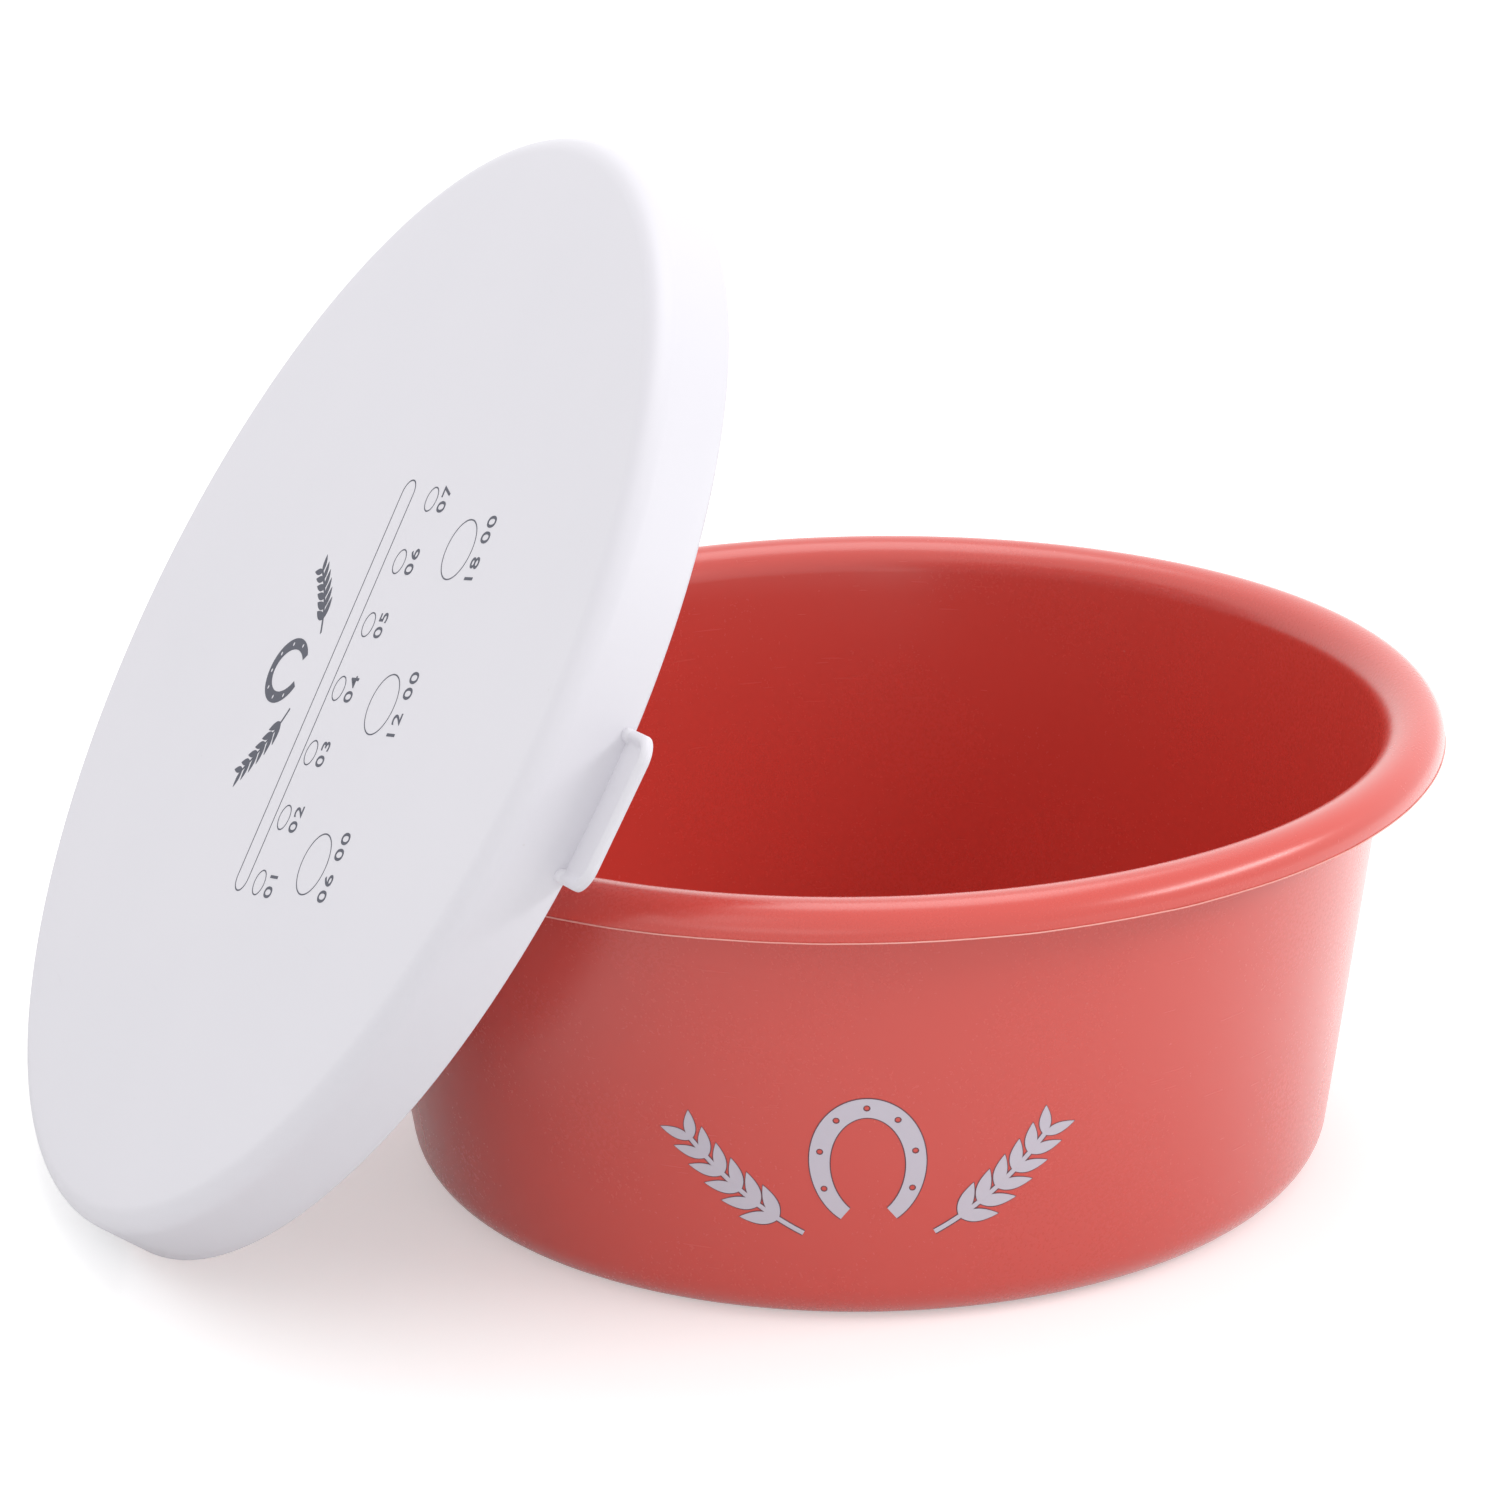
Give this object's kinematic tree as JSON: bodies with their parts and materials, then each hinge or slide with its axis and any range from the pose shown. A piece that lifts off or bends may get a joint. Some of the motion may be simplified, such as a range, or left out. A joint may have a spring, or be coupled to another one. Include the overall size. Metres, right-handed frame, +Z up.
{
  "type": "feed bowl with press-fit lid",
  "caption": "Round tapered feed bowl with a hollow rolled rim, and its press-fit lid with a pull tab leaning against it.",
  "frame": {"origin": "centre of the bowl's foot, on the ground", "axes": "+Z up along the bowl's axis; the lid leans on the -X side, and its axis lies in a plane parallel to XZ"},
  "size_m": [0.3904, 0.3479, 0.2845],
  "materials": {
    "bowl": "satin red polyethylene, finely scuffed",
    "lid": "satin off-white polyethylene with dark grey print"
  },
  "bodies": {
    "bowl": {"bowl": "bowl"},
    "lid": {"lid": "lid"}
  },
  "joints": [
    {"name": "lid_lift_off", "type": "slide", "parent": "bowl", "child": "lid", "axis": [-0.848, 0, 0.5299], "range_m": [0, 0.2]}
  ]
}
